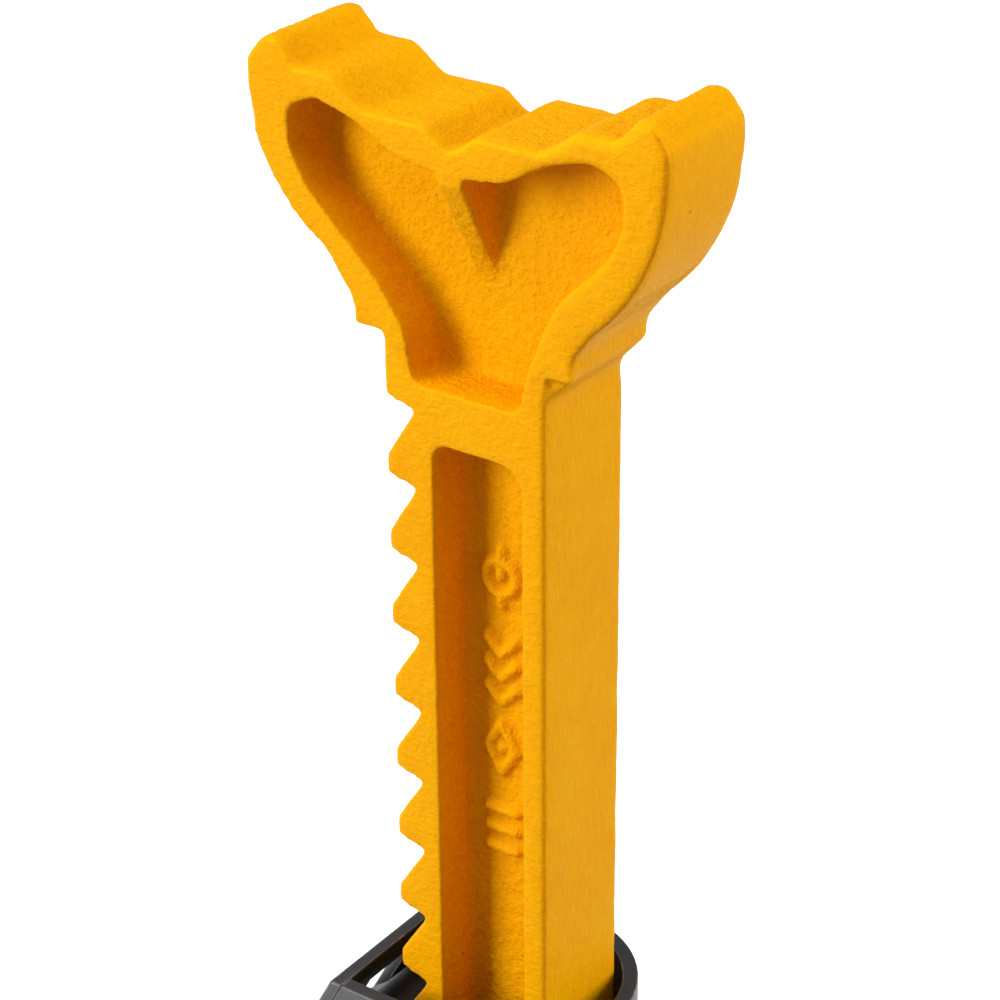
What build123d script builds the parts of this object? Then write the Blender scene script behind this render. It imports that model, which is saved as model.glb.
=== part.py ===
from build123d import *
import math
import os

# Ratchet axle stand: a toothed cast bar with a forked saddle slides in a four-legged base,
# and a lever with a pawl on its inner end holds it at one of its notches.
# Millimetres. X runs across the teeth (they face -X), Y through the bar, Z up from the floor.
# The origin is on the floor under the middle of the saddle.

# bar and ratchet
bar_depth = 24.0
bar_right_x = 19.1
tooth_root_x = -8.2
tooth_tip_x = -14.4
tooth_pitch = 15.0
tooth_count = 11
bar_below_first_root = 250.7
shank_pocket_end = 214.0
bar_up = 371.0
shoulder_z = 13.6
shoulder_x = 24.3
lift_play = 3.0
stop_pin_x = 2.3
stop_pin_radius = 3.0

# saddle, heights above the first tooth root
saddle_half_width = 42.0
horn_z = 61.4
outer_ledge_z = 56.8
inner_ledge_z = 52.0
valley_z = 48.2
rim_bottom_z = 5.6
front_recess = 10.0
back_recess = 9.0
front_slab = 1.2
gusset_width = 5.0

# base
sheet = 3.0
tube_half_depth = 22.8
tube_round_x = 4.6
tube_left_x = -23.2
collar_top = 252.0
tube_bottom = 148.0
box_floor = 187.0
box_knee_z = 207.0
box_slope = 0.54
leg_top = 183.0
leg_half_x = 98.0
leg_half_y = 90.0
leg_overlap = 3.4
leg_fit = 0.2
bend_radius = 7.0
flange_width = 36.0
arch_head = 16.0
arch_spring_z = 102.0
foot_thickness = 4.0
foot_size = 44.0
foot_x = 82.0
foot_y = 74.0
foot_corner = 6.0
brace_low = 42.0
brace_high = 60.0
brace_inset = 30.0

# pawl and lever
pivot_x = -22.2
pivot_z = 232.0
pivot_radius = 4.0
running_fit = 0.05
hub_radius = 6.5
pawl_half_depth = 13.0
release_angle = 10.9
nose_reach = 12.0
nose_drop = 25.35
lever_angle = 51.0
lever_length = 108.0
lever_half_width = 4.0
lever_slot = (188.6, 241.0)
grip_wall = 2.2
grip_length = 52.0

os.makedirs("parts", exist_ok=True)


def across(points):
    """Closed face in the XZ plane, seen from the front, from (x, z) points."""
    return make_face(Plane.XZ * Polyline(*[(x, z) for x, z in points], close=True))


def slab(face, y_low, y_high):
    """Solid of an XZ face between two depths."""
    return extrude(Pos(0, y_high, 0) * face, amount=y_high - y_low, dir=(0, -1, 0))


def rounded(face, corners, radius):
    """Round the corners of an XZ face that lie nearest to the given (x, z) points."""
    picked = [min(face.vertices(), key=lambda v: math.hypot(v.X - x, v.Z - z)) for x, z in corners]
    return fillet(picked, radius)


def box_between(low, high):
    """Box from its lowest to its highest corner."""
    size = [b - a for a, b in zip(low, high)]
    middle = [(a + b) / 2 for a, b in zip(low, high)]
    return Pos(*middle) * Box(*size)


def save(part, name):
    export_step(part, f"parts/{name}.step")


# ratchet bar
def tooth_edge():
    """Left edge of the bar from the neck down: long flanks above, short load faces below."""
    flank_drop = 9.6
    land_end = 13.1
    face_end = 14.3
    points = [(tooth_tip_x, shoulder_z)]
    for n in range(-1, tooth_count):
        top = -n * tooth_pitch
        if n >= 0:
            points += [(tooth_root_x, top), (tooth_tip_x, top - flank_drop)]
        points += [(tooth_tip_x, top - land_end), (tooth_root_x, top - face_end)]
    last = -tooth_count * tooth_pitch
    points += [(tooth_root_x, last), (tooth_tip_x, last - flank_drop)]
    return points


def bar_outline():
    """Outline of the casting, with x from the saddle's middle and z from the first root."""
    half_top = [
        (0, valley_z), (5.0, inner_ledge_z), (17.6, inner_ledge_z), (24.6, outer_ledge_z),
        (32.0, outer_ledge_z), (35.6, horn_z), (38.6, horn_z), (saddle_half_width, 57.0),
    ]
    mirrored_top = [(-x, z) for x, z in reversed(half_top)]
    bottom = -bar_below_first_root
    neck = [(28.2, 23.2), (shoulder_x, 17.6), (shoulder_x, shoulder_z), (bar_right_x, shoulder_z)]
    shank = [(bar_right_x, bottom), (tooth_tip_x, bottom), *reversed(tooth_edge())]
    left_neck = [(-20.4, shoulder_z), (-20.4, 18.0), (-26.2, 26.2)]
    outline = Polyline(*half_top)
    outline += ThreePointArc((saddle_half_width, 57.0), (38.4, 36.6), (28.2, 23.2))
    outline += Polyline(*neck, *shank, *left_neck)
    outline += ThreePointArc((-26.2, 26.2), (-37.6, 37.4), (-saddle_half_width, 57.0))
    outline += Polyline(*mirrored_top)
    return make_face(Plane.XZ * outline)


def saddle_pocket():
    """Recess in the saddle: two rounded lobes under the ledges, narrowing into the neck."""
    pocket = across([
        (0, 44.2), (10.5, 45.4), (19.5, 50.2), (27.5, 52.4), (33.4, 50.0), (33.4, 43.0), (30.8, 37.0),
        (21.5, 28.0), (17.4, 20.0), (14.4, 9.5), (14.4, rim_bottom_z), (-8.2, rim_bottom_z),
        (-10.0, 15.4), (-15.0, 22.4), (-29.8, 36.2), (-33.4, 43.0), (-33.4, 50.0), (-27.5, 52.4),
        (-19.5, 50.2), (-10.5, 45.4),
    ])
    bends = {
        3.6: [(27.5, 52.4), (-27.5, 52.4), (33.4, 50.0), (-33.4, 50.0)],
        3.0: [(14.4, rim_bottom_z), (-8.2, rim_bottom_z)],
        8.0: [(33.4, 43.0), (-33.4, 43.0), (10.5, 45.4), (-10.5, 45.4)],
        12.0: [(30.8, 37.0), (21.5, 28.0), (-29.8, 36.2), (-10.0, 15.4)],
        18.0: [(17.4, 20.0), (-15.0, 22.4)],
    }
    for radius, corners in bends.items():
        pocket = rounded(pocket, corners, radius)
    return pocket


def shank_pocket():
    """Long recess in the shank, between the divider and the solid foot."""
    top = -4.6
    bottom = -shank_pocket_end
    return across([(-4.2, top), (14.3, top), (14.3, bottom), (-4.2, bottom)])


def gusset():
    """Wedge rib under the valley, flush with the rims at its top and run out on the web."""
    outer = bar_depth / 2
    web = outer - front_recess
    profile = Polyline((-outer, 45.5), (-web, 45.5), (-web, 24.0), (-outer, 43.0), close=True)
    left = 0.4 - gusset_width / 2
    return extrude(Pos(left, 0, 0) * make_face(Plane.YZ * profile), amount=gusset_width, dir=(1, 0, 0))


def neck_slope():
    """Slope behind the front slab that carries the right shoulder down into the shank."""
    face = across([
        (bar_right_x - 1, shoulder_z + 2), (shoulder_x, shoulder_z + 2), (shoulder_x, shoulder_z + 1),
        (bar_right_x, shoulder_z - 5), (bar_right_x - 1, shoulder_z - 5),
    ])
    face = rounded(face, [(shoulder_x, shoulder_z + 1), (bar_right_x, shoulder_z - 5)], 2.0)
    return slab(face, -bar_depth / 2 + front_slab, bar_depth / 2)


def ratchet_bar():
    outer = bar_depth / 2
    outline = bar_outline()
    outline = rounded(outline, [(0, valley_z)], 2.4)
    outline = rounded(outline, [(s * 35.6, horn_z) for s in (1, -1)], 1.4)
    outline = rounded(outline, [(s * 38.6, horn_z) for s in (1, -1)], 3.0)
    outline = rounded(outline, [(s * 32.0, outer_ledge_z) for s in (1, -1)], 1.2)
    outline = rounded(outline, [(s * 24.6, outer_ledge_z) for s in (1, -1)], 2.0)
    outline = rounded(outline, [(s * 17.6, inner_ledge_z) for s in (1, -1)], 2.0)
    outline = rounded(outline, [(s * 5.0, inner_ledge_z) for s in (1, -1)], 1.2)
    outline = rounded(outline, [(28.2, 23.2), (shoulder_x, 17.6), (-26.2, 26.2), (-20.4, 18.0)], 5.0)
    tips = [(tooth_tip_x, -n * tooth_pitch - 9.6) for n in range(tooth_count + 1)]
    heels = [(tooth_tip_x, -n * tooth_pitch - 13.1) for n in range(-1, tooth_count)]
    outline = rounded(outline, tips, 2.6)
    outline = rounded(outline, heels, 1.0)
    body = slab(outline, -outer, outer)
    shank = rounded(shank_pocket(), [(-4.2, -4.6)], 3.4)
    shank = rounded(shank, [(14.3, -4.6)], 5.0)
    for face in (saddle_pocket(), shank):
        body -= slab(face, -outer, -outer + front_recess)
        body -= slab(face, outer - back_recess, outer)
    body += gusset()
    body += neck_slope()
    pin_hole = Rot(90, 0, 0) * Cylinder(stop_pin_radius, bar_depth + 2)
    return Pos(0, 0, bar_up) * body - Pos(stop_pin_x, 0, stop_pin_z()) * pin_hole


def stop_pin_z():
    """Height of the stop pin, which meets the lower guide after the bar's last bit of lift."""
    gap = 0.4
    return lower_guide_z() - gap - lift_play - stop_pin_radius


def lower_guide_z():
    return tube_bottom + 2.2


def stop_pin():
    pin = Rot(90, 0, 0) * Cylinder(stop_pin_radius, 35.0)
    pin = chamfer(pin.edges().filter_by(GeomType.CIRCLE), 0.6)
    return Pos(stop_pin_x, 0, stop_pin_z()) * pin


# guide tube and pawl box
def tube_section(half_depth, left_x):
    """U section seen from above: flat sides, a round right end and a flat left end."""
    flat = box_between((left_x, -half_depth, 0), (tube_round_x, half_depth, 1))
    end = Pos(tube_round_x, 0, 0.5) * Cylinder(half_depth, 1)
    return (flat + end).faces().sort_by(Axis.Z)[0]


def tube_solid(half_depth, left_x, low, high):
    section = tube_section(half_depth, left_x)
    return extrude(Pos(0, 0, low) * section, amount=high - low, dir=(0, 0, 1))


def cover_x(z):
    """Inner face of the pawl box's cover at a height: sloped above the knee, upright below."""
    return tube_left_x + sheet - box_slope * (collar_top - max(z, box_knee_z))


def cheek():
    """Side plate of the pawl box, seen from the front."""
    return across([
        (tube_left_x + sheet, collar_top), (cover_x(box_knee_z), box_knee_z),
        (cover_x(box_knee_z), box_floor), (tube_left_x + sheet, box_floor),
    ])


def guide_tube():
    inner = tube_half_depth - sheet
    shell = tube_solid(tube_half_depth, tube_left_x, tube_bottom, collar_top)
    shell -= tube_solid(inner, tube_left_x + sheet, tube_bottom - 1, collar_top + 1)
    shell -= box_between((tube_left_x - 1, -30, box_floor), (tube_left_x + sheet, 30, collar_top + 1))
    for side in (-1, 1):
        low, high = sorted((side * inner, side * tube_half_depth))
        shell += slab(cheek(), low, high)
    bore = Pos(pivot_x, 0, pivot_z) * Rot(90, 0, 0) * Cylinder(pivot_radius + running_fit, 60)
    return shell - bore


def pawl_box_cover():
    """Bent sheet over the cheeks' ends: sloped top, upright front, floor, and the lever's slot."""
    outer_knee = cover_x(box_knee_z) - sheet
    face = across([
        (tube_left_x + sheet, collar_top), (cover_x(box_knee_z), box_knee_z),
        (cover_x(box_knee_z), box_floor), (tube_left_x, box_floor), (tube_left_x, box_floor - sheet),
        (outer_knee, box_floor - sheet), (outer_knee, box_knee_z - 0.8), (tube_left_x + 0.2, collar_top),
    ])
    face = rounded(face, [(outer_knee, box_floor - sheet), (outer_knee, box_knee_z - 0.8)], 2.8)
    cover = slab(face, -tube_half_depth, tube_half_depth)
    slot_half = lever_half_width + 2.5
    slot_low, slot_high = lever_slot
    slot = box_between((outer_knee - 5, -slot_half, slot_low), (tube_left_x + 1, slot_half, slot_high))
    return cover - slot


def anvil_block():
    """Block on the box floor that backs the loaded pawl."""
    block = box_between((-38.0, -14.0, box_floor), (-15.6, 14.0, 197.8))
    foot = box_between((-24.0, -15.0, box_floor - 1), (-15.0, 15.0, 190.0))
    return chamfer((block - foot).edges().filter_by(Axis.Y).sort_by(Axis.Z)[-2:], 1.0)


def guide_plate(low):
    """Plate across the tube with a window that steadies the bar."""
    window_gap = 0.5
    plate = tube_solid(tube_half_depth - sheet, tube_left_x + sheet, low, low + 4.0)
    window = box_between(
        (tooth_tip_x - window_gap, -bar_depth / 2 - window_gap, low - 1),
        (bar_right_x + window_gap, bar_depth / 2 + window_gap, low + 5),
    )
    return plate - window


# pawl, lever and pivot
def lever_turned(part):
    """Turn a part modelled with the pawl in a notch to the released rest pose."""
    return Pos(pivot_x, 0, pivot_z) * Rot(0, release_angle, 0) * part


def pawl():
    """Hub on the pivot pin with the wedge nose below it."""
    nose = across([
        (nose_reach, -nose_drop), (nose_reach - 4.4, -nose_drop + 0.8), (6.6, -22.0), (6.2, 0),
        (-6.2, 0), (-7.0, -20.0), (-5.0, -33.0), (7.0, -33.0), (nose_reach - 4.3, -nose_drop - 6.7),
    ])
    nose = rounded(nose, [(-7.0, -20.0), (-5.0, -33.0)], 2.0)
    nose = rounded(nose, [(nose_reach, -nose_drop)], 0.8)
    body = slab(nose, -pawl_half_depth, pawl_half_depth)
    body += Rot(90, 0, 0) * Cylinder(hub_radius, 2 * pawl_half_depth)
    body -= Rot(90, 0, 0) * Cylinder(pivot_radius + running_fit, 40)
    return lever_turned(body)


def lever_arm():
    """Flat arm that starts on the pawl's hub and leaves through the cover."""
    arm = across([
        (0, 5.8), (-lever_length + 8, 7.5), (-lever_length, 4.0),
        (-lever_length, -4.0), (-lever_length + 8, -7.5), (0, -5.8),
    ])
    arm = rounded(arm, [(-lever_length, 4.0), (-lever_length, -4.0)], 2.5)
    arm = Rot(0, -lever_angle, 0) * slab(arm, -lever_half_width, lever_half_width)
    arm -= Rot(90, 0, 0) * Cylinder(pivot_radius + running_fit, 40)
    return lever_turned(arm) - pawl()


def lever_grip():
    """Dipped vinyl sleeve on the lever's end."""
    start = -lever_length + grip_length
    end = -lever_length - grip_wall
    start_half = 6.7 + grip_wall
    end_half = 7.5 + grip_wall
    sleeve = across([
        (start, start_half), (-lever_length + 8, end_half), (end, 5.0),
        (end, -5.0), (-lever_length + 8, -end_half), (start, -start_half),
    ])
    sleeve = rounded(sleeve, [(end, 5.0), (end, -5.0)], 3.0)
    body = slab(sleeve, -lever_half_width - grip_wall, lever_half_width + grip_wall)
    body = fillet(body.edges().filter_by(Axis.Y, reverse=True).group_by(Axis.Y)[0], 1.6)
    body = fillet(body.edges().filter_by(Axis.Y, reverse=True).group_by(Axis.Y)[-1], 1.6)
    body = Rot(0, -lever_angle, 0) * body
    return lever_turned(body) - lever_arm()


def pivot_pin():
    """Headed pin through both cheeks, with a cross hole for the split pin."""
    shank_end = tube_half_depth + 6.0
    head = tube_half_depth + 3.0
    profile = make_face(Plane.YZ * Polyline(
        (-head, 0), (-head, 6.0), (-head + 1.0, 7.0), (-tube_half_depth, 7.0),
        (-tube_half_depth, pivot_radius), (shank_end - 1.0, pivot_radius),
        (shank_end, pivot_radius - 1.0), (shank_end, 0), close=True))
    pin = revolve(profile, Axis.Y)
    pin -= Pos(0, split_pin_y(), 0) * Cylinder(1.1, 20)
    return Pos(pivot_x, 0, pivot_z) * pin


def split_pin_y():
    return tube_half_depth + 3.2


def pin_washer():
    thickness = 1.5
    ring = Cylinder(7.0, thickness) - Cylinder(pivot_radius + running_fit, 2 * thickness)
    return Pos(pivot_x, tube_half_depth + thickness / 2, pivot_z) * Rot(90, 0, 0) * ring


def pin_spacer(side):
    """Tube on the pivot pin between the pawl and a cheek."""
    length = tube_half_depth - sheet - pawl_half_depth - 0.6
    ring = Cylinder(hub_radius, length) - Cylinder(pivot_radius + running_fit, length + 2)
    middle = side * (pawl_half_depth + 0.4 + length / 2)
    return Pos(pivot_x, middle, pivot_z) * Rot(90, 0, 0) * ring


def split_pin():
    """Split pin: an eye above the pivot pin and two legs bent apart below it."""
    y = split_pin_y()
    wire = 1.0
    eye = Pos(0, 0, pivot_radius + 3.4) * Rot(90, 0, 0) * Torus(2.2, wire)
    shank = Pos(0, 0, -1.0) * Cylinder(wire, 12.0)
    legs = [Pos(0, 0, -6.5) * Rot(0, side * 35, 0) * Pos(0, 0, -2.6) * Cylinder(wire * 0.8, 5.6)
            for side in (-1, 1)]
    return Pos(pivot_x, y, pivot_z) * (eye + shank + legs[0] + legs[1])


# legs, feet and braces
def pyramid(inset):
    """Four-sided taper from the floor rectangle to the tube, moved in by an inset, with bent corners."""
    low = Pos(0, 0, foot_thickness) * Rectangle(2 * (leg_half_x - inset), 2 * (leg_half_y - inset))
    right = tube_round_x + tube_half_depth
    middle = (right + tube_left_x) / 2
    half_width = (right - tube_left_x) / 2 + leg_overlap - inset
    high = Pos(middle, 0, leg_top) * Rectangle(2 * half_width, 2 * (tube_half_depth + leg_overlap - inset))
    taper = loft([low, high], ruled=True)
    bends = [edge for edge in taper.edges() if edge.bounding_box().size.Z > leg_top / 2]
    return fillet(bends, bend_radius - inset)


def arch(half_base):
    """Opening between two legs, seen square on, with a round head."""
    bottom = foot_thickness - 1
    sides = Polyline(
        (-half_base, bottom), (-arch_head, arch_spring_z), (arch_head, arch_spring_z),
        (half_base, bottom), close=True)
    return make_face(sides) + Pos(0, arch_spring_z) * Circle(arch_head)


def leg_frame():
    """All four legs as one shell, before it is cut into its four pressings."""
    shell = pyramid(0) - pyramid(sheet + leg_fit)
    shell -= tube_solid(tube_half_depth, tube_left_x, tube_bottom - 1, leg_top + 1)
    front = extrude(Plane.XZ * arch(leg_half_x - flange_width), amount=200, both=True)
    side = extrude(Plane.YZ * arch(leg_half_y - flange_width), amount=200, both=True)
    return shell - front - side


def leg(frame, sx, sy):
    """One leg: an angle whose two flanges lie in neighbouring faces of the taper."""
    reach = 150.0
    low = (min(0, sx * reach), min(0, sy * reach), 0)
    high = (max(0, sx * reach), max(0, sy * reach), 260)
    return frame & box_between(low, high)


def crown_plate():
    """Plate that closes the top of the legs around the tube."""
    high_z = leg_top - leg_fit
    zone = box_between((-100, -100, high_z - sheet), (100, 100, high_z))
    plate = pyramid(sheet + leg_fit) & zone
    return plate - tube_solid(tube_half_depth, tube_left_x, tube_bottom, collar_top)


def foot(sx, sy):
    """Flat pad welded under a leg, with rounded corners."""
    pad = Pos(sx * foot_x, sy * foot_y, foot_thickness / 2) * Box(foot_size, foot_size, foot_thickness)
    return fillet(pad.edges().filter_by(Axis.Z), foot_corner)


def brace(along_x, sign):
    """Flat strip inside two neighbouring legs, following the taper."""
    strip = pyramid(sheet + leg_fit) - pyramid(2 * sheet + leg_fit)
    reach_x = leg_half_x - brace_inset
    reach_y = leg_half_y - brace_inset
    if along_x:
        near, far = sorted((sign * 40, sign * 100))
        zone = box_between((-reach_x, near, brace_low), (reach_x, far, brace_high))
    else:
        near, far = sorted((sign * 50, sign * 120))
        zone = box_between((near, -reach_y, brace_low), (far, reach_y, brace_high))
    return strip & zone


def main():
    save(ratchet_bar(), "ratchet_bar")
    save(stop_pin(), "stop_pin")
    save(guide_tube(), "guide_tube")
    save(pawl_box_cover(), "pawl_box_cover")
    save(anvil_block(), "anvil_block")
    save(guide_plate(lower_guide_z()), "lower_guide")
    save(guide_plate(178.0), "upper_guide")
    save(pawl(), "pawl")
    save(lever_arm(), "lever_arm")
    save(lever_grip(), "lever_grip")
    save(pivot_pin(), "pivot_pin")
    save(pin_washer(), "pin_washer")
    save(split_pin(), "split_pin")
    save(crown_plate(), "crown_plate")
    frame = leg_frame()
    for sy, depth_name in ((-1, "front"), (1, "back")):
        save(pin_spacer(sy), f"pin_spacer_{depth_name}")
        for sx, side_name in ((-1, "left"), (1, "right")):
            save(leg(frame, sx, sy), f"leg_{depth_name}_{side_name}")
            save(foot(sx, sy), f"foot_{depth_name}_{side_name}")
        save(brace(True, sy), f"brace_{depth_name}")
    for sx, side_name in ((-1, "left"), (1, "right")):
        save(brace(False, sx), f"brace_{side_name}")


main()
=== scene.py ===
import math

import bmesh
import bpy
import numpy as np
from mathutils import Matrix, Vector, noise


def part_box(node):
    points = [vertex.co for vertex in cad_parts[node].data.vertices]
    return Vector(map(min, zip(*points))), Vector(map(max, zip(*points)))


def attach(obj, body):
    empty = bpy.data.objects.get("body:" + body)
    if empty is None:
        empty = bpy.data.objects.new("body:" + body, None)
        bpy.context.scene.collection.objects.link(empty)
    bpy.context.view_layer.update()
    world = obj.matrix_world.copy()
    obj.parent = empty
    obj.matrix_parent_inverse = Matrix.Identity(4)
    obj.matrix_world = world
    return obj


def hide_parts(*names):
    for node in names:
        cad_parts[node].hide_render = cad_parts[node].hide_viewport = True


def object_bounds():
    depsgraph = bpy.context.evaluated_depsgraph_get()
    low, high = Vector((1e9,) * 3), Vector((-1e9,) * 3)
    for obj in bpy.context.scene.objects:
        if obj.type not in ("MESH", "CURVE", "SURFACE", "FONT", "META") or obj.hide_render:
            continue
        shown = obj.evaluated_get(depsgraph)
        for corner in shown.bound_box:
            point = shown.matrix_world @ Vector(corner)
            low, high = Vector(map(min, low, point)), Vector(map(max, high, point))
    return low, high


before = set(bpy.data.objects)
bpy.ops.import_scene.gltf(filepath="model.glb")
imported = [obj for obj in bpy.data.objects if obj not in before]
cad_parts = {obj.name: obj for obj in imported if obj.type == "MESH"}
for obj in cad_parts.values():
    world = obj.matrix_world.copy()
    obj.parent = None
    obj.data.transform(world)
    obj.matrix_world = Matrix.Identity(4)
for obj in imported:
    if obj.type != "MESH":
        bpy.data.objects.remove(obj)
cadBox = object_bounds()

mm = 0.001  # one millimetre in scene units


# wires and node kits

class Wire:
    # one output of a node; sums on wires add Math nodes to the same tree
    def __init__(self, kit, socket):
        self.kit = kit
        self.socket = socket

    def maths(self, operation, first, second=0.0, clamp=False):
        settings = {"operation": operation, "use_clamp": clamp}
        return self.kit.add("ShaderNodeMath", settings, {0: first, 1: second})

    def __add__(self, other):
        return self.maths("ADD", self, other)

    def __radd__(self, other):
        return self.maths("ADD", other, self)

    def __sub__(self, other):
        return self.maths("SUBTRACT", self, other)

    def __rsub__(self, other):
        return self.maths("SUBTRACT", other, self)

    def __mul__(self, other):
        return self.maths("MULTIPLY", self, other)

    def __rmul__(self, other):
        return self.maths("MULTIPLY", other, self)

    def __truediv__(self, other):
        return self.maths("DIVIDE", self, other)

    def __pow__(self, other):
        return self.maths("POWER", self, other)

    def clamped(self):
        return self.maths("ADD", self, 0.0, clamp=True)

    def sine(self):
        return self.maths("SINE", self)

    def lesser(self, other):
        return self.maths("MINIMUM", self, other)

    def ramp(self, low, high):
        # 0 at low, 1 at high, held outside
        return self.maths("MULTIPLY", self - low, 1 / (high - low), clamp=True)


class NodeKit:
    # adds nodes to a tree: type, settings first, then socket values or links
    def __init__(self, tree):
        self.tree = tree

    def add(self, kind, settings=None, values=None, output=0):
        node = self.tree.nodes.new(kind)
        for name, value in (settings or {}).items():
            setattr(node, name, value)
        for key, value in (values or {}).items():
            if isinstance(value, Wire):
                self.tree.links.new(value.socket, node.inputs[key])
            else:
                node.inputs[key].default_value = value
        return Wire(self, node.outputs[output]) if node.outputs else None

    def blend(self, factor, first, second, mode="MIX"):
        settings = {"data_type": "RGBA", "blend_type": mode}
        return self.add("ShaderNodeMix", settings, {0: factor, 6: first, 7: second}, output=2)

    def grain(self, place, scale, detail=2.0, rough=0.5):
        # noise with features 1 / scale metres across, about 0.5 on average
        values = {"Vector": place, "Scale": scale, "Detail": detail, "Roughness": rough}
        return self.add("ShaderNodeTexNoise", None, values)

    def stretched(self, place, scale):
        return self.add("ShaderNodeMapping", None, {"Vector": place, "Scale": scale})

    def stored(self, name):
        return self.add("ShaderNodeAttribute", {"attribute_name": name}, output="Fac")

    def bump(self, height, distance, normal=None):
        values = {"Height": height, "Distance": distance, "Strength": 1.0}
        if normal is not None:
            values["Normal"] = normal
        return self.add("ShaderNodeBump", None, values)


def newFinish(name, fixed, build):
    # fixed holds values that are the same all over; build returns what varies
    material = bpy.data.materials.new(name)
    material.use_nodes = True
    tree = material.node_tree
    tree.nodes.clear()
    kit = NodeKit(tree)
    place = kit.add("ShaderNodeTexCoord", output="Object")
    values = dict(fixed)
    values.update(build(kit, place))
    surface = kit.add("ShaderNodeBsdfPrincipled", None, values)
    kit.add("ShaderNodeOutputMaterial", None, {"Surface": surface})
    return material


# finishes

# two colours here are painted shade: one for inside corners and grain valleys, one for the band on the front
# right edge
yellowLook = dict(
    bright=(0.96, 0.46, 0.0, 1), deep=(0.90, 0.37, 0.0, 1), hollowShade=(0.58, 0.17, 0.0, 1),
    edgeShadeColour=(0.56, 0.16, 0.0, 1), pit=(0.16, 0.06, 0.01, 1), roughness=0.46,
    cloudScale=45, patchScale=160, sandScale=850, fineScale=2400, pitScale=420,
    upStrokeScale=(1900, 1900, 260), levelStrokeScale=(420, 600, 1500),
    sandHeight=0.55 * mm, strokeHeight=0.30 * mm, pitDepth=0.2 * mm,
)


def castPaint():
    look = yellowLook

    def build(kit, place):
        cloud = kit.grain(place, look["cloudScale"], 3)
        patch = kit.grain(place, look["patchScale"], 4, 0.6)
        sand = kit.grain(place, look["sandScale"], 3, 0.65)
        fine = kit.grain(place, look["fineScale"], 2)
        upStrokes = kit.grain(kit.stretched(place, look["upStrokeScale"]), 1, 3, 0.6)
        levelStrokes = kit.grain(kit.stretched(place, look["levelStrokeScale"]), 1, 3, 0.6)
        normal = kit.add("ShaderNodeNewGeometry", output="Normal")
        sideways = kit.add("ShaderNodeSeparateXYZ", None, {0: normal})
        sideMask = sideways.maths("ABSOLUTE", sideways).ramp(0.6, 0.95)  # left and right faces
        strokes = sideMask * upStrokes + (1 - sideMask) * (0.5 + 0.55 * (levelStrokes - 0.5))
        rough = kit.stored("sandy")
        hollowShade = kit.stored("hollowShade")
        pits = kit.grain(place, look["pitScale"], 1).ramp(0.80, 0.83)
        pits = pits * kit.grain(place, 60, 0).ramp(0.52, 0.6)  # only here and there
        tone = (cloud * 0.6 + patch * 0.4).ramp(0.3, 0.7)
        sandHeightMix = (sand * 0.5 + fine * 0.5).ramp(0.38, 0.62)
        strokeValleyShade = strokes.ramp(0.60, 0.38)
        colour = kit.blend(tone * 0.7, look["bright"], look["deep"])
        # painted shade: the valleys of the brush-stroke relief are darkened
        colour = kit.blend(strokeValleyShade * (0.22 - 0.14 * rough), colour, look["deep"], "MULTIPLY")
        # painted shade: the valleys of the sand relief are darkened, more in the recesses
        colour = kit.blend((1 - sandHeightMix) * 0.22 * rough, colour, look["hollowShade"])
        # painted shade: inside corners darken toward the shade colour
        colour = kit.blend((hollowShade * (0.15 + 0.7 * sandHeightMix)).clamped(), colour, look["hollowShade"])
        # painted shade: a darker band on the wide round of the front right edge
        colour = kit.blend(kit.stored("edgeBandShade") * (0.35 + 0.4 * sandHeightMix), colour, look["edgeShadeColour"])
        colour = kit.blend(pits * 0.85, colour, look["pit"])
        height = sand * (0.35 + 0.65 * rough) + fine * 0.3 * rough
        relief = kit.bump(height, look["sandHeight"])
        relief = kit.bump(strokes * (1 - 0.7 * rough), look["strokeHeight"], relief)
        relief = kit.bump(1 - pits, look["pitDepth"], relief)
        return {
            "Base Color": colour,
            "Roughness": look["roughness"] + 0.16 * (patch - 0.5) + 0.10 * rough,
            "Normal": relief,
        }

    return newFinish("cast yellow paint", {"Specular IOR Level": 0.03}, build)


blackLook = dict(
    coat=(0.030, 0.029, 0.031, 1), dusty=(0.085, 0.082, 0.080, 1), wornEdgeAndHighlight=(0.20, 0.195, 0.19, 1),
    roughness=0.34, peelHeight=0.10 * mm,
)


def blackPaint():
    look = blackLook

    def build(kit, place):
        cloud = kit.grain(place, 30, 4, 0.6)
        peel = kit.grain(place, 420, 2)
        fine = kit.grain(place, 2200, 2)
        scuffs = kit.grain(kit.stretched(place, (900, 900, 60)), 1, 4, 0.7).ramp(0.66, 0.74)
        edge = kit.stored("edgeWearAndHighlight")
        chips = (edge * kit.grain(place, 260, 4, 0.7).ramp(0.48, 0.60)).clamped()
        dust = cloud.ramp(0.45, 0.75) * fine.ramp(0.35, 0.75)
        colour = kit.blend(dust * 0.35, look["coat"], look["dusty"])
        colour = kit.blend(scuffs * 0.25, colour, look["dusty"])
        # partly painted highlight: every broken edge is lightened a little; the noisy chips are wear
        colour = kit.blend((0.25 * edge + 0.6 * chips).clamped(), colour, look["wornEdgeAndHighlight"])
        relief = kit.bump(peel + 0.25 * fine, look["peelHeight"])
        relief = kit.bump(1 - chips, 0.05 * mm, relief)
        return {
            "Base Color": colour,
            "Roughness": look["roughness"] + 0.14 * cloud + 0.15 * dust + 0.1 * scuffs,
            "Normal": relief,
        }

    return newFinish("black powder coat", {"Specular IOR Level": 0.55}, build)


leverLook = dict(
    coat=(0.034, 0.034, 0.036, 1), grey=(0.12, 0.118, 0.115, 1), roughness=0.5,
    sandHeight=0.16 * mm,
)


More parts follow.
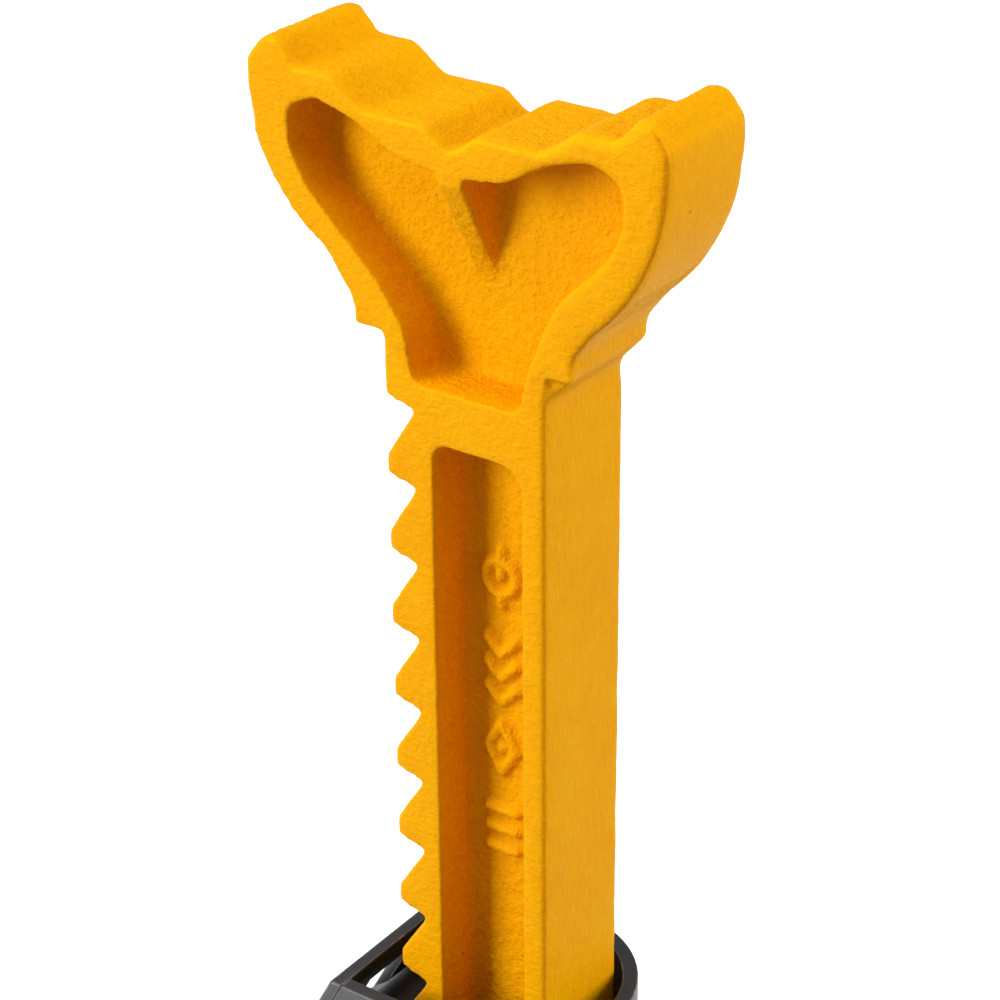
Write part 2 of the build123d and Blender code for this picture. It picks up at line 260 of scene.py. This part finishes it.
def leverPaint():
    look = leverLook

    def build(kit, place):
        cloud = kit.grain(place, 60, 4, 0.6)
        sand = kit.grain(place, 900, 4, 0.65)
        edge = kit.stored("ridge")
        rubbed = (edge * kit.grain(place, 300, 4, 0.7).ramp(0.4, 0.6)).clamped()
        colour = kit.blend(cloud.ramp(0.4, 0.8) * 0.3, look["coat"], look["grey"])
        colour = kit.blend(rubbed * 0.6, colour, look["grey"])
        return {
            "Base Color": colour,
            "Roughness": look["roughness"] + 0.2 * (sand - 0.5) - 0.15 * rubbed,
            "Normal": kit.bump(sand, look["sandHeight"]),
        }

    return newFinish("lever paint", {"Specular IOR Level": 0.5}, build)


zincLook = dict(
    bright=(0.66, 0.655, 0.63, 1), straw=(0.60, 0.54, 0.40, 1), dull=(0.36, 0.36, 0.37, 1),
    roughness=0.30, turnedHeight=0.03 * mm,
)


def zincPlate():
    look = zincLook

    def build(kit, place):
        cloud = kit.grain(place, 180, 3, 0.6)
        spangle = kit.grain(place, 800, 3, 0.7)
        turned = kit.grain(kit.stretched(place, (500, 6000, 500)), 1, 2)
        colour = kit.blend(cloud.ramp(0.35, 0.65), look["bright"], look["straw"])
        colour = kit.blend(spangle.ramp(0.55, 0.8) * 0.6, colour, look["dull"])
        return {
            "Base Color": colour,
            "Roughness": look["roughness"] + 0.25 * (spangle - 0.4),
            "Normal": kit.bump(turned, look["turnedHeight"]),
        }

    return newFinish("zinc plate", {"Metallic": 1.0}, build)


springLook = dict(blue=(0.13, 0.135, 0.15, 1), brown=(0.24, 0.19, 0.15, 1), roughness=0.36)


def springSteel():
    look = springLook

    def build(kit, place):
        cloud = kit.grain(place, 220, 4, 0.6)
        rolled = kit.grain(kit.stretched(place, (3500, 250, 3500)), 1, 3)
        return {
            "Base Color": kit.blend(cloud.ramp(0.4, 0.7), look["blue"], look["brown"]),
            "Roughness": look["roughness"] + 0.2 * (rolled - 0.5),
            "Normal": kit.bump(rolled, 0.03 * mm),
        }

    return newFinish("oiled spring steel", {"Metallic": 1.0}, build)


vinylLook = dict(dark=(0.022, 0.022, 0.023, 1), bloom=(0.075, 0.075, 0.078, 1), roughness=0.55)


def gripVinyl():
    look = vinylLook

    def build(kit, place):
        cloud = kit.grain(place, 110, 4, 0.6)
        skin = kit.grain(place, 1500, 2)
        return {
            "Base Color": kit.blend(cloud.ramp(0.45, 0.75) * 0.5, look["dark"], look["bloom"]),
            "Roughness": look["roughness"] + 0.2 * (cloud - 0.5),
            "Normal": kit.bump(skin, 0.05 * mm),
        }

    return newFinish("dipped vinyl", {"Specular IOR Level": 0.4}, build)


finishes = {
    "yellow_paint": castPaint(),
    "black_paint": blackPaint(),
    "lever_paint": leverPaint(),
    "zinc_steel": zincPlate(),
    "spring_steel": springSteel(),
    "grip_vinyl": gripVinyl(),
}
print("finishes ready:", ", ".join(sorted(finishes)))


# mesh helpers

def linkNew(mesh, name):
    piece = bpy.data.objects.new(name, mesh)
    bpy.context.scene.collection.objects.link(piece)
    return piece


def evaluated(piece):
    # turn the piece's live modifiers into its plain mesh
    bpy.context.view_layer.update()
    depsgraph = bpy.context.evaluated_depsgraph_get()
    mesh = bpy.data.meshes.new_from_object(piece.evaluated_get(depsgraph))
    piece.modifiers.clear()
    old = piece.data
    piece.data = mesh
    bpy.data.meshes.remove(old)
    return piece


def mergedCopy(node, name):
    # a joined-up copy of a part's loose triangles, with its flat faces made whole
    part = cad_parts[node]
    mesh = part.data.copy()
    mesh.materials.clear()
    work = bmesh.new()
    work.from_mesh(mesh)
    bmesh.ops.remove_doubles(work, verts=work.verts, dist=0.002 * mm)
    bmesh.ops.dissolve_limit(
        work, angle_limit=math.radians(0.3), verts=work.verts, edges=work.edges)
    work.to_mesh(mesh)
    work.free()
    return linkNew(mesh, name)


def pointsOf(mesh):
    flat = np.zeros(len(mesh.vertices) * 3)
    mesh.vertices.foreach_get("co", flat)
    return flat.reshape(-1, 3)


def setPoints(mesh, points):
    mesh.vertices.foreach_set("co", points.reshape(-1))
    mesh.update()


def normalsOf(mesh):
    flat = np.zeros(len(mesh.vertices) * 3)
    mesh.vertex_normals.foreach_get("vector", flat)
    return flat.reshape(-1, 3)


def edgesOf(mesh):
    flat = np.zeros(len(mesh.edges) * 2, dtype=np.int64)
    mesh.edges.foreach_get("vertices", flat)
    return flat.reshape(-1, 2)


def neighbourMean(values, edges):
    # mean over each vertex's neighbours, column by column
    ends = np.concatenate([edges[:, 0], edges[:, 1]])
    others = np.concatenate([edges[:, 1], edges[:, 0]])
    count = np.bincount(ends, minlength=len(values)).clip(1)
    columns = [np.bincount(ends, weights=values[others, k], minlength=len(values)) / count
               for k in range(values.shape[1])]
    return np.stack(columns, axis=1)


def relaxed(points, edges, passes, weight=1.0):
    for _ in range(passes):
        points = points + 0.5 * weight * (neighbourMean(points, edges) - points)
    return points


def smoothStep(values, low, high):
    t = np.clip((values - low) / (high - low), 0, 1)
    return t * t * (3 - 2 * t)


def unevenness(points, size, seed):
    # one noise value for each point, with lumps of that size
    shift = Vector((seed * 7.3, seed * 3.1, seed * 5.7))
    return np.array([noise.noise(Vector(p) / size + shift) for p in points])


def storeValues(mesh, name, values):
    attribute = mesh.attributes.new(name, "FLOAT", "POINT")
    attribute.data.foreach_set("value", np.clip(values, 0, 1).astype(np.float32))


def storeCurvature(mesh, reach, gain):
    # two masks: 1 in inside corners, used for painted shade on the yellow paint, and 1 on outside corners
    points = pointsOf(mesh)
    edges = edgesOf(mesh)
    bend = np.sum((neighbourMean(points, edges) - points) * normalsOf(mesh), axis=1, keepdims=True)
    for _ in range(reach):
        bend = neighbourMean(bend, edges)
    storeValues(mesh, "hollowShade", bend[:, 0] * gain)
    storeValues(mesh, "ridge", -bend[:, 0] * gain)


def voxelSkin(piece, size):
    skin = piece.modifiers.new("voxel skin", "REMESH")
    skin.mode = "VOXEL"
    skin.voxel_size = size
    return evaluated(piece)


def thinned(piece, mostTriangles):
    piece.data.calc_loop_triangles()
    triangles = len(piece.data.loop_triangles)
    if triangles > mostTriangles:
        fewer = piece.modifiers.new("fewer triangles", "DECIMATE")
        fewer.ratio = mostTriangles / triangles
        evaluated(piece)
    return piece


def finishPiece(piece, body, slotName, *replaced):
    piece.data.materials.clear()
    piece.data.materials.append(finishes[slotName])
    piece.data.shade_smooth()
    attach(piece, body)
    if replaced:
        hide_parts(*replaced)
    return piece


# the cast bar

castBar = dict(
    voxel=0.5 * mm, filletPasses=9, softPasses=3, crestPasses=5, hornPasses=16, tipPasses=8,
    edgePasses=20, flarePasses=30, mostTriangles=190000,
    firstRootBelowTop=61.4 * mm, valleyAboveRoot=44 * mm, shoulderAboveRoot=13.6 * mm,
    frontWeb=2.0 * mm, lumps=0.12 * mm, lumpSize=6 * mm, sand=0.17 * mm, sandSize=1.2 * mm,
)
# where each softening fades from none to full; horn and outerSkin count both ways from the middle
castZones = dict(
    horn=(33 * mm, 36 * mm), tip=(-13.6 * mm, -11.6 * mm), rightRim=(14.5 * mm, 16.5 * mm),
    outerSkin=(9.4 * mm, 10.6 * mm), behindSlab=(-10.4 * mm, -9.0 * mm), flareSide=(16.5 * mm, 18 * mm),
)
castMarks = dict(
    height=1.25 * mm, stroke=2.0 * mm, column=3.2 * mm, firstDown=32.6 * mm, spacing=17.6 * mm,
)


def circleLine(radius, sides=20):
    turns = [2 * math.pi * n / sides for n in range(sides + 1)]
    return [(radius * math.cos(t), radius * math.sin(t)) for t in turns]


def foundryMarks():
    # plain foundry marks, in millimetres about each mark's middle: dial, chevrons, diamond, bars
    dial = [circleLine(3.3), [(0, 0), (0, 1.4)], [(0, 4.6), (0, 5.6)], [(0, -4.6), (0, -5.6)]]
    chevrons = [[(-3, 5 - 5 * n), (0, 2 - 5 * n), (3, 5 - 5 * n)] for n in range(3)]
    diamond = [[(0, 5.2), (3.1, 0), (0, -5.2), (-3.1, 0), (0, 5.2)], [(0, 0.3), (0, -0.3)]]
    bars = [[(-3, 4.2 - 4.2 * n), (3, 4.2 - 4.2 * n)] for n in range(3)]
    return [dial, chevrons, diamond, bars]


def lineDistance(points, line):
    nearest = np.full(len(points), 1e9)
    for start, end in zip(line[:-1], line[1:]):
        a = np.array(start)
        along = np.array(end) - a
        t = np.clip((points - a) @ along / (along @ along), 0, 1)
        nearest = np.minimum(nearest, np.linalg.norm(points - a - t[:, None] * along, axis=1))
    return nearest


def markHeights(points, firstRoot):
    # how far the front web is raised at each point, for the marks down the shank
    height = np.zeros(len(points))
    for n, mark in enumerate(foundryMarks()):
        middle = firstRoot - castMarks["firstDown"] - n * castMarks["spacing"]
        local = np.stack([points[:, 0] - castMarks["column"], points[:, 2] - middle], axis=1)
        local = local / mm
        near = np.min([lineDistance(local, line) for line in mark], axis=0)
        half = castMarks["stroke"] / mm / 2
        height = np.maximum(height, smoothStep(-near, -half - 0.35, -half + 0.45))
    return height * castMarks["height"]


def offShoulder(up, near, far):
    return smoothStep(np.abs(up - castBar["shoulderAboveRoot"]), near, far)


def softenedOutside(points, edges, firstRoot):
    # rounder crest, horns and tooth tips, and a wide round on the right face's edges
    look = castBar
    across = points[:, 0]
    up = points[:, 2] - firstRoot
    crest = smoothStep(up, look["valleyAboveRoot"], look["valleyAboveRoot"] + 3 * mm)
    horns = crest * smoothStep(np.abs(across), *castZones["horn"])
    belowNeck = 1 - smoothStep(up, look["shoulderAboveRoot"] - 2 * mm, look["shoulderAboveRoot"])
    tips = belowNeck * (1 - smoothStep(across, *castZones["tip"]))
    rightEdge = (smoothStep(across, *castZones["rightRim"]) * offShoulder(up, 1.5 * mm, 3.5 * mm)
                 * smoothStep(np.abs(points[:, 1]), *castZones["outerSkin"]))
    behindSlab = smoothStep(points[:, 1], *castZones["behindSlab"])
    flare = ((1 - offShoulder(up, 6 * mm, 10 * mm)) * behindSlab
             * smoothStep(across, *castZones["flareSide"]))
    for passes, weight in (
        (look["crestPasses"], crest), (look["hornPasses"], horns), (look["tipPasses"], tips),
        (look["edgePasses"], rightEdge), (look["flarePasses"], flare),
    ):
        points = relaxed(points, edges, passes, weight[:, None])
    return points


def buildCastBar():
    look = castBar
    low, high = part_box("ratchet_bar")
    firstRoot = high.z - look["firstRootBelowTop"]
    halfDepth = high.y
    bar = voxelSkin(mergedCopy("ratchet_bar", "saddleBarCasting"), look["voxel"])
    mesh = bar.data
    edges = edgesOf(mesh)
    points = pointsOf(mesh)
    # wide fillets where the recess walls meet the web, a softer skin all over
    deep = smoothStep(halfDepth - np.abs(points[:, 1]), 4.5 * mm, 7.0 * mm)
    inner = (points[:, 0] > low.x + 2 * mm) * deep
    points = relaxed(points, edges, look["filletPasses"], inner[:, None])
    points = relaxed(points, edges, look["softPasses"])
    points = softenedOutside(points, edges, firstRoot)
    setPoints(mesh, points)
    # raised marks on the web
    normals = normalsOf(mesh)
    onWeb = (np.abs(points[:, 1] + look["frontWeb"]) < 0.8 * mm) & (normals[:, 1] < -0.6)
    points[:, 1] -= markHeights(points, firstRoot) * onWeb
    points = relaxed(points, edges, 1, onWeb[:, None] * 1.0)
    # uneven skin of a sand casting, rougher in the recesses
    recessed = smoothStep(halfDepth - np.abs(points[:, 1]), 1.2 * mm, 3.5 * mm)
    flatSide = np.abs(normals[:, 0]) > 0.8
    rightFace = flatSide & (points[:, 0] > high.x * 0.4) & (normals[:, 0] > 0)
    sandy = 0.25 + 0.75 * recessed * (1 - rightFace)
    lumps = unevenness(points, look["lumpSize"], 1) * look["lumps"]
    sand = unevenness(points, look["sandSize"], 2) * look["sand"] * sandy
    points = points + normals * (lumps + sand)[:, None]
    points[:, 1] = points[:, 1].clip(low.y, high.y)
    setPoints(mesh, points)
    storeCurvature(mesh, 3, 9000)
    storeValues(mesh, "sandy", sandy)
    # painted shade on the wide round of the front right edge, where the light from both sides falls off
    turned = smoothStep(-normals[:, 1], 0.30, 0.55) * smoothStep(normals[:, 0], 0.30, 0.55)
    turned = turned * offShoulder(points[:, 2] - firstRoot, 2 * mm, 5 * mm)
    storeValues(mesh, "edgeBandShade", turned * (points[:, 0] > 15 * mm))
    return finishPiece(thinned(bar, look["mostTriangles"]), "bar", "yellow_paint", "ratchet_bar")


bar = buildCastBar()
print("cast bar:", len(bar.data.polygons), "faces")


# pressed and welded steel

plateEdges = dict(width=0.55 * mm, segments=3, sharp=32)


def roundedPlate(node, body, slotName, width=None):
    # a plate with its edges broken, and a mark on those faces for rubbed paint and a painted edge highlight
    piece = mergedCopy(node, node + "_finished")
    flat = len(piece.data.polygons)
    piece.data.materials.append(finishes[slotName])
    piece.data.materials.append(finishes[slotName])
    bevel = piece.modifiers.new("broken edges", "BEVEL")
    bevel.width = width or plateEdges["width"]
    bevel.segments = plateEdges["segments"]
    bevel.limit_method = "ANGLE"
    bevel.angle_limit = math.radians(plateEdges["sharp"])
    bevel.use_clamp_overlap = True
    bevel.material = 1
    evaluated(piece)
    mesh = piece.data
    onEdge = np.zeros(len(mesh.polygons), dtype=np.int32)
    mesh.polygons.foreach_get("material_index", onEdge)
    wornEdgeAndHighlight = mesh.attributes.new("edgeWearAndHighlight", "FLOAT", "FACE")
    wornEdgeAndHighlight.data.foreach_set("value", onEdge.astype(np.float32))
    mesh.polygons.foreach_set("material_index", np.zeros(len(onEdge), dtype=np.int32))
    finishPiece(piece, body, slotName, node)
    mesh.set_sharp_from_angle(angle=math.radians(40))
    print("plate", node, flat, "->", len(mesh.polygons), "faces")
    return piece


legs = [f"leg_{depth}_{side}" for depth in ("front", "back") for side in ("left", "right")]
feet = [name.replace("leg", "foot") for name in legs]
braces = ["brace_front", "brace_back", "brace_left", "brace_right"]
for node in legs + feet + braces + ["crown_plate", "upper_guide", "lower_guide", "anvil_block"]:
    roundedPlate(node, "stand", "black_paint")
for node in ("guide_tube", "pawl_box_cover"):
    roundedPlate(node, "stand", "black_paint", 0.4 * mm)
for node in ("pivot_pin", "pin_washer", "pin_spacer_front", "pin_spacer_back", "split_pin"):
    roundedPlate(node, "stand", "zinc_steel", 0.2 * mm)
roundedPlate("stop_pin", "bar", "spring_steel", 0.2 * mm)


# weld beads

weldBead = dict(radius=1.6 * mm, pitch=1.7 * mm, ripple=0.16, wander=0.12, seed=4.0)


def beadTree():
    tree = bpy.data.node_groups.new("weld bead", "GeometryNodeTree")
    face = tree.interface
    face.new_socket("Geometry", in_out="INPUT", socket_type="NodeSocketGeometry")
    for name in ("Bead Radius", "Ripple Pitch", "Ripple Depth", "Wander", "Seed"):
        face.new_socket(name, in_out="INPUT", socket_type="NodeSocketFloat")
    face.new_socket("Finish", in_out="INPUT", socket_type="NodeSocketMaterial")
    face.new_socket("Geometry", in_out="OUTPUT", socket_type="NodeSocketGeometry")
    kit = NodeKit(tree)
    seams, radius, pitch, ripple, wander, seed, finish = [
        kit.add("NodeGroupInput", output=n) for n in range(7)]
    path = kit.add("GeometryNodeMeshToCurve", None, {"Mesh": seams})
    path = kit.add("GeometryNodeResampleCurve", {"mode": "LENGTH"}, {"Curve": path, "Length": pitch / 5})
    along = kit.add("GeometryNodeSplineParameter", output="Length")
    whole = kit.add("GeometryNodeSplineLength", output="Length")
    place = kit.add("GeometryNodeInputPosition")
    lump = kit.add("ShaderNodeTexNoise", {"noise_dimensions": "4D"},
                   {"Vector": place, "W": seed, "Scale": 300.0, "Detail": 1.0})
    wave = (along * (2 * math.pi) / pitch).sine()
    ends = along.lesser(whole - along)
    taper = (ends / radius + 0.25).clamped() ** 0.5
    size = radius * (1 + ripple * wave + wander * (2 * lump - 1)) * taper
    ring = kit.add("GeometryNodeCurvePrimitiveCircle", {"mode": "RADIUS"}, {"Resolution": 10, "Radius": 1.0})
    bead = kit.add("GeometryNodeCurveToMesh", None,
                   {"Curve": path, "Profile Curve": ring, "Scale": size, "Fill Caps": True})
    bead = kit.add("GeometryNodeRealizeInstances", None, {"Geometry": bead})
    bead = kit.add("GeometryNodeSetMaterial", None, {"Geometry": bead, "Material": finish})
    kit.add("NodeGroupOutput", None, {"Geometry": bead})
    return tree


def setInputs(modifier, tree, values):
    for item in tree.interface.items_tree:
        if item.in_out == "INPUT" and item.name in values:
            modifier[item.identifier] = values[item.name]


def seamMesh(name, lines):
    vertices = []
    edges = []
    for line in lines:
        first = len(vertices)
        vertices += [tuple(p) for p in line]
        edges += [(first + n, first + n + 1) for n in range(len(line) - 1)]
    mesh = bpy.data.meshes.new(name)
    mesh.from_pydata(vertices, edges, [])
    return linkNew(mesh, name)


def nodePoints(node):
    return pointsOf(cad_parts[node].data)


def legSeam(node, axis):
    # outer edge of a leg's cut face, where it meets its neighbour above the arch
    other = 1 - axis
    points = nodePoints(node)
    cut = points[np.abs(points[:, axis]) < 0.01 * mm]
    top = cut[cut[:, 2] > cut[:, 2].max() - 0.01 * mm]
    bottom = cut[cut[:, 2] < cut[:, 2].min() + 0.4 * mm]
    return [max(group, key=lambda p: abs(p[other])) for group in (bottom, top)]


def footSeam(node):
    # outline of a leg's outer face on its foot
    points = nodePoints(node)
    floor = points[points[:, 2] < points[:, 2].min() + 0.01 * mm]
    signs = np.sign(floor.mean(axis=0))
    floor = floor * signs * (1, 1, 0) + (0, 0, floor[0, 2])
    reach = floor.max(axis=0)
    front = floor[floor[:, 1] > reach[1] - 0.01 * mm]
    side = floor[floor[:, 0] > reach[0] - 0.01 * mm]
    corners = [
        (front[:, 0].min(), reach[1]), (front[:, 0].max(), reach[1]),
        (reach[0], side[:, 1].max()), (reach[0], side[:, 1].min()),
    ]
    return [Vector((x * signs[0], y * signs[1], reach[2])) for x, y in corners]


def tubeSeam(height, sides=16):
    # around the guide tube: flat sides and the round end on the right
    low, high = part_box("guide_tube")
    radius = high.y
    middle = high.x - radius
    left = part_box("crown_plate")[0].x + radius * 0.17
    turns = [-math.pi / 2 + math.pi * n / sides for n in range(sides + 1)]
    arc = [Vector((middle + radius * math.cos(t), radius * math.sin(t), height)) for t in turns]
    return [Vector((left, -radius, height)), *arc, Vector((left, radius, height))]


def coverSeam(side):
    # where the bent cover meets a cheek of the pawl box, below the collar
    points = nodePoints("guide_tube")
    low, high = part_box("guide_tube")
    front = points[points[:, 0] < low.x + 0.01 * mm]
    knee = front[:, 2].max()
    floor = front[:, 2].min()
    top = high.z
    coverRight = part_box("pawl_box_cover")[1].x
    start = Vector((low.x, 0, knee)).lerp(Vector((coverRight, 0, top)), 0.62)
    y = high.y * side
    return [Vector((start.x, y, start.z)), Vector((low.x, y, knee)), Vector((low.x, y, floor)),
            Vector((coverRight - 1.5 * mm, y, floor))]


def braceSeam(node, side):
    # upright bead at one end of a brace
    points = nodePoints(node)
    axis = 0 if node in ("brace_front", "brace_back") else 1
    end = points[points[:, axis] * side > points[:, axis].max() - 0.01 * mm]
    low = end[end[:, 2] < end[:, 2].min() + 0.1 * mm]
    high = end[end[:, 2] > end[:, 2].max() - 0.1 * mm]
    return [min(group, key=lambda p: abs(p[1 - axis])) for group in (low, high)]


def buildWelds():
    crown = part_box("crown_plate")[1].z
    lines = [tubeSeam(crown + 0.2 * mm)]
    for leg in ("leg_front_left", "leg_back_left"):
        lines.append(legSeam(leg, 0))
    for leg in ("leg_front_left", "leg_front_right"):
        lines.append(legSeam(leg, 1))
    lines += [footSeam(leg) for leg in legs]
    lines += [coverSeam(side) for side in (-1, 1)]
    lines += [braceSeam(node, side) for node in braces for side in (-1, 1)]
    welds = seamMesh("frameWelds", lines)
    tree = beadTree()
    beads = welds.modifiers.new("weld bead", "NODES")
    beads.node_group = tree
    setInputs(beads, tree, {
        "Bead Radius": weldBead["radius"], "Ripple Pitch": weldBead["pitch"],
        "Ripple Depth": weldBead["ripple"], "Wander": weldBead["wander"],
        "Seed": weldBead["seed"], "Finish": finishes["black_paint"],
    })
    return finishPiece(evaluated(welds), "stand", "black_paint")


welds = buildWelds()
print("welds:", len(welds.data.polygons), "faces")


# lever and grip

leverNodes = ["pawl", "lever_arm"]
leverCast = dict(voxel=0.6 * mm, passes=5, lumps=0.10 * mm, lumpSize=5 * mm)
gripDip = dict(voxel=0.5 * mm, passes=6, ribs=9, ribHeight=0.35 * mm, ribWidth=1.5 * mm)


def joined(nodes, name):
    # one mesh that holds copies of several parts
    copies = [mergedCopy(node, name) for node in nodes]
    whole = copies[0]
    work = bmesh.new()
    for copy in copies:
        work.from_mesh(copy.data)
    work.to_mesh(whole.data)
    work.free()
    for copy in copies[1:]:
        bpy.data.objects.remove(copy)
    return whole


def buildLever():
    look = leverCast
    lever = voxelSkin(joined(leverNodes, "pawlLeverCasting"), look["voxel"])
    mesh = lever.data
    points = relaxed(pointsOf(mesh), edgesOf(mesh), look["passes"])
    setPoints(mesh, points)
    lumps = unevenness(points, look["lumpSize"], 5) * look["lumps"]
    setPoints(mesh, points + normalsOf(mesh) * lumps[:, None])
    storeCurvature(mesh, 2, 9000)
    return finishPiece(thinned(lever, 90000), "lever", "lever_paint", *leverNodes)


def buildGrip():
    look = gripDip
    grip = voxelSkin(mergedCopy("lever_grip", "leverGripSleeve"), look["voxel"])
    mesh = grip.data
    points = relaxed(pointsOf(mesh), edgesOf(mesh), look["passes"])
    setPoints(mesh, points)
    hub = Vector(((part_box("pivot_pin")[0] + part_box("pivot_pin")[1]) / 2))
    tip = (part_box("lever_grip")[0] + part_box("lever_grip")[1]) / 2
    along = np.array((tip - hub).normalized())
    reach = (points - np.array(hub)) @ along
    start = reach.min()
    length = reach.max() - start
    phase = (reach - start) / length * look["ribs"]
    middle = smoothStep(phase, 0.8, 1.2) * (1 - smoothStep(phase, look["ribs"] - 2.4, look["ribs"] - 2.0))
    rib = smoothStep(np.cos(2 * math.pi * phase), 0.2, 0.8) * look["ribHeight"] * middle
    normals = normalsOf(mesh)
    outward = 1 - np.abs(normals @ along)
    setPoints(mesh, points + normals * (rib * outward)[:, None])
    return finishPiece(thinned(grip, 60000), "lever", "grip_vinyl", "lever_grip")


lever = buildLever()
grip = buildGrip()
print("lever:", len(lever.data.polygons), "faces, grip:", len(grip.data.polygons), "faces")


# floor, light and camera

studio = dict(
    floorSize=60.0, floorColour=(0.90, 0.90, 0.90, 1), floorGlow=0.72, sky=0.28,
    aimHeight=0.8,  # share of the stand's height that the boxes point at
)
# each box: power, width and height, place, all in watts and metres
softBoxes = {
    "front left box": (17.6, (0.5, 0.9), (-0.70, -1.08, 0.80)),
    "right box": (9.2, (0.45, 0.9), (1.12, 0.26, 0.62)),
    "top box": (7.6, (0.9, 0.9), (-0.15, -0.1, 1.45)),
}
lens = dict(
    azimuth=35.967, elevation=27.398, roll=-0.496, distance=0.5002, focal=103.19,
    aimRight=1.3 * mm, aimBelowTop=80.3 * mm,
)


def buildFloor():
    half = studio["floorSize"] / 2
    mesh = bpy.data.meshes.new("floor")
    corners = [(-half, -half, 0), (half, -half, 0), (half, half, 0), (-half, half, 0)]
    mesh.from_pydata(corners, [], [(0, 1, 2, 3)])
    floor = linkNew(mesh, "floor")
    material = newFinish("pale floor", {
        "Base Color": studio["floorColour"], "Roughness": 0.7, "Specular IOR Level": 0.2,
        "Emission Color": (1, 1, 1, 1), "Emission Strength": studio["floorGlow"],
    }, lambda kit, place: {})
    mesh.materials.append(material)
    # the floor stays pale without filling the shadows
    floor.visible_diffuse = False


def softBox(name, power, size, place, aim):
    light = bpy.data.lights.new(name, "AREA")
    light.shape = "RECTANGLE"
    light.size, light.size_y = size
    light.energy = power
    lamp = bpy.data.objects.new(name, light)
    bpy.context.scene.collection.objects.link(lamp)
    lamp.location = place
    lamp.rotation_euler = (Vector(place) - Vector(aim)).to_track_quat("Z", "Y").to_euler()


def buildStudio():
    scene = bpy.context.scene
    scene.view_settings.view_transform = "Standard"
    world = bpy.data.worlds.new("studio")
    world.use_nodes = True
    sky = world.node_tree.nodes["Background"]
    sky.inputs["Color"].default_value = (1, 1, 1, 1)
    sky.inputs["Strength"].default_value = studio["sky"]
    scene.world = world
    top = cadBox[1].z
    for name, (power, size, place) in softBoxes.items():
        softBox(name, power, size, place, (0, 0, top * studio["aimHeight"]))


def buildCamera():
    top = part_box("ratchet_bar")[1].z
    aim = Vector((lens["aimRight"], 0, top - lens["aimBelowTop"]))
    azimuth, elevation, roll = (math.radians(lens[k]) for k in ("azimuth", "elevation", "roll"))
    turn = (Matrix.Rotation(azimuth, 3, "Z") @ Matrix.Rotation(math.pi / 2 - elevation, 3, "X")
            @ Matrix.Rotation(roll, 3, "Z"))
    data = bpy.data.cameras.new("camera")
    data.lens = lens["focal"]
    data.sensor_width = 36
    data.clip_start = 0.01
    camera = bpy.data.objects.new("camera", data)
    bpy.context.scene.collection.objects.link(camera)
    camera.matrix_world = Matrix.Translation(aim + turn @ Vector((0, 0, lens["distance"]))) @ turn.to_4x4()
    bpy.context.scene.camera = camera


buildFloor()
buildStudio()
buildCamera()
print("studio ready")
